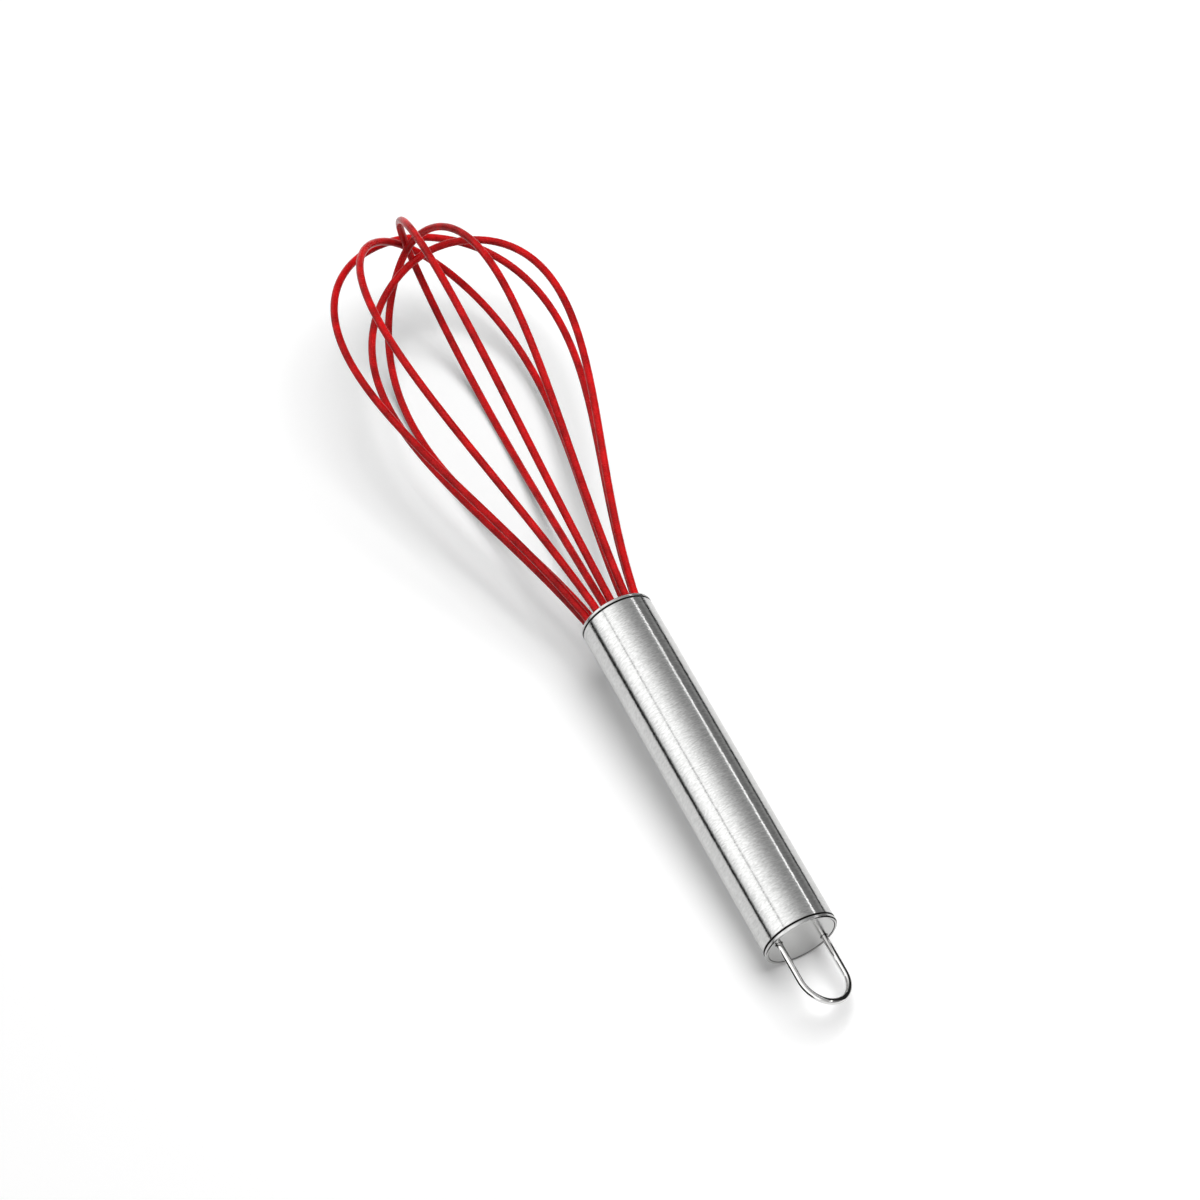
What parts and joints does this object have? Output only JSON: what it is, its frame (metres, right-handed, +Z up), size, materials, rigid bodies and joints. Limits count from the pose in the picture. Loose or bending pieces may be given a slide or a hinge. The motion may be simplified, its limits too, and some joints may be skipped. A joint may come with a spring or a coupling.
{
  "type": "balloon whisk",
  "caption": "Balloon whisk: crossed wire loops in red silicone sleeves, a straight brushed steel tube handle with flat caps, and a wire hanging loop at its end.",
  "frame": {"origin": "on the table, under the middle of the whisk's box, as the whisk lies on its end cap's rim and on two of its strands", "axes": "+X from the handle towards the tip of the balloon along the table, +Z up"},
  "size_m": [0.3106, 0.0766, 0.0685],
  "materials": {
    "tube_steel": "stainless steel tube, brushed round its axis",
    "cap_steel": "satin stainless steel disc with a bright rounded edge",
    "wire_steel": "polished stainless steel wire",
    "spring_steel": "drawn stainless spring wire, hidden in the sleeves",
    "red_silicone": "satin red silicone",
    "anchor_resin": "cast resin, hidden in the handle"
  },
  "bodies": {
    "root": {"handle_tube": "tube_steel", "front_cap": "cap_steel", "end_cap": "cap_steel", "hanging_loop": "wire_steel", "wire_anchor": "anchor_resin", "loop_anchor": "anchor_resin", "wire_core_1": "spring_steel", "wire_core_2": "spring_steel", "wire_core_3": "spring_steel", "wire_core_4": "spring_steel", "wire_core_5": "spring_steel", "wire_sleeve_1": "red_silicone", "wire_sleeve_2": "red_silicone", "wire_sleeve_3": "red_silicone", "wire_sleeve_4": "red_silicone", "wire_sleeve_5": "red_silicone"}
  },
  "joints": []
}
